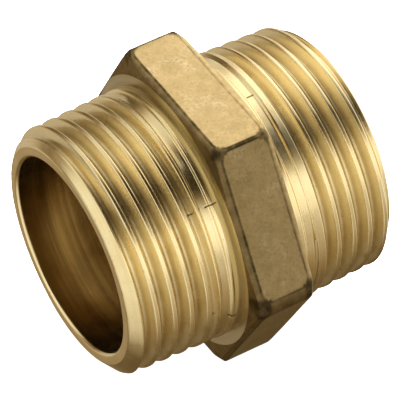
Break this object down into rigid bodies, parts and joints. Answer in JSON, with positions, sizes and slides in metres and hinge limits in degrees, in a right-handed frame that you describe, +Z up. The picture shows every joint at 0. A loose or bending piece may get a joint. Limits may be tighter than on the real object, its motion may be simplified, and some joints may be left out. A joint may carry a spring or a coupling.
{
  "type": "hex nipple",
  "caption": "Short brass pipe fitting: a hexagonal middle with a taper male pipe thread at each end and a plain through-bore.",
  "frame": {"origin": "middle of the fitting on the bore axis", "axes": "X along the bore, left end face at -X and right end face at +X; +Z up, square to one flat of the hexagon; Y through the two opposite hexagon edges where the forging dies part"},
  "size_m": [0.0376, 0.042, 0.037],
  "materials": {
    "forged_brass": "matte, as forged",
    "turned_brass": "satin, as turned"
  },
  "bodies": {
    "root": {"hex_collar": "forged_brass", "left_threaded_end": "turned_brass", "right_threaded_end": "turned_brass"}
  },
  "joints": []
}
